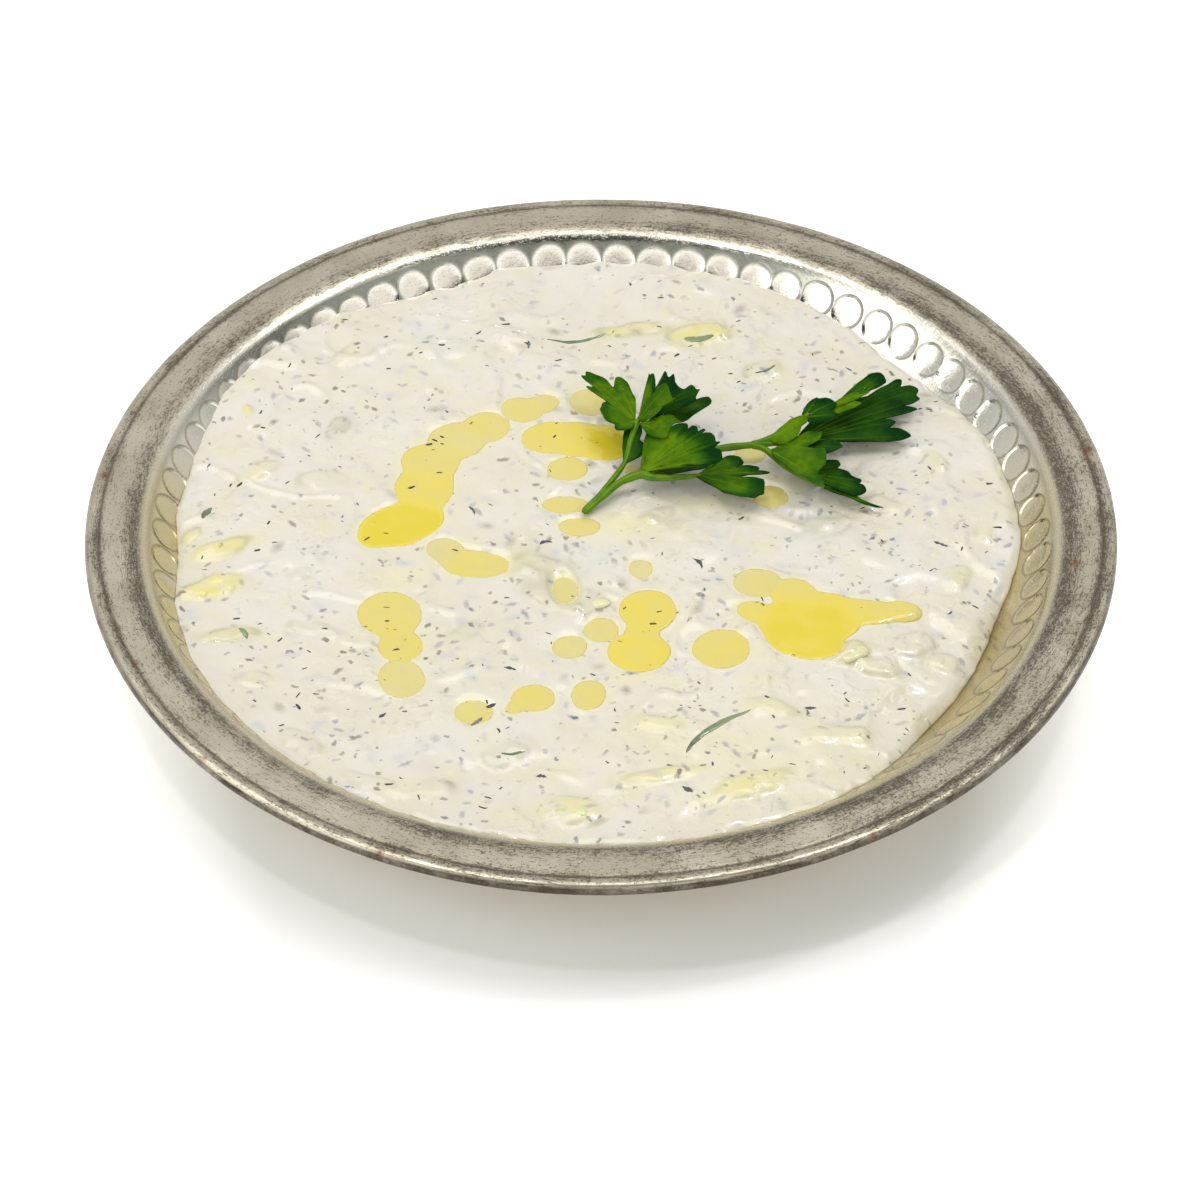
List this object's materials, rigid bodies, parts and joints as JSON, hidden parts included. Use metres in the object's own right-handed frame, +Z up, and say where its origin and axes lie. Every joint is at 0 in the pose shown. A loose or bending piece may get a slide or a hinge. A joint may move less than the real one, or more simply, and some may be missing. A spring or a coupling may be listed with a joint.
{
  "type": "tzatziki dip in a dish",
  "caption": "Tzatziki dip with olive oil, cucumber and herbs, filling a shallow round hand-beaten metal dish, with a parsley sprig on top.",
  "frame": {"origin": "middle of the underside of the dish, on the surface it stands on", "axes": "+Z up out of the dish; the parsley sprig lies on the +X, +Y side"},
  "size_m": [0.2198, 0.2198, 0.0352],
  "materials": {
    "tinned_copper": "worn hand-wiped tin over beaten copper, grey with warm traces, dark specks near the folds",
    "yoghurt_dip": "moist cream-white yoghurt with grated cucumber just under the surface",
    "parsley_leaf": "fresh flat parsley, dark glossy upper side and lighter yellow-green underside",
    "olive_oil": "thin golden oil in flat pools",
    "cucumber": "wet grated cucumber with a little dark green skin",
    "dried_herb": "dark green-brown dried dill and mint flecks"
  },
  "bodies": {
    "root": {"dish": "tinned_copper", "dip": "yoghurt_dip", "parsley": "parsley_leaf"}
  },
  "joints": []
}
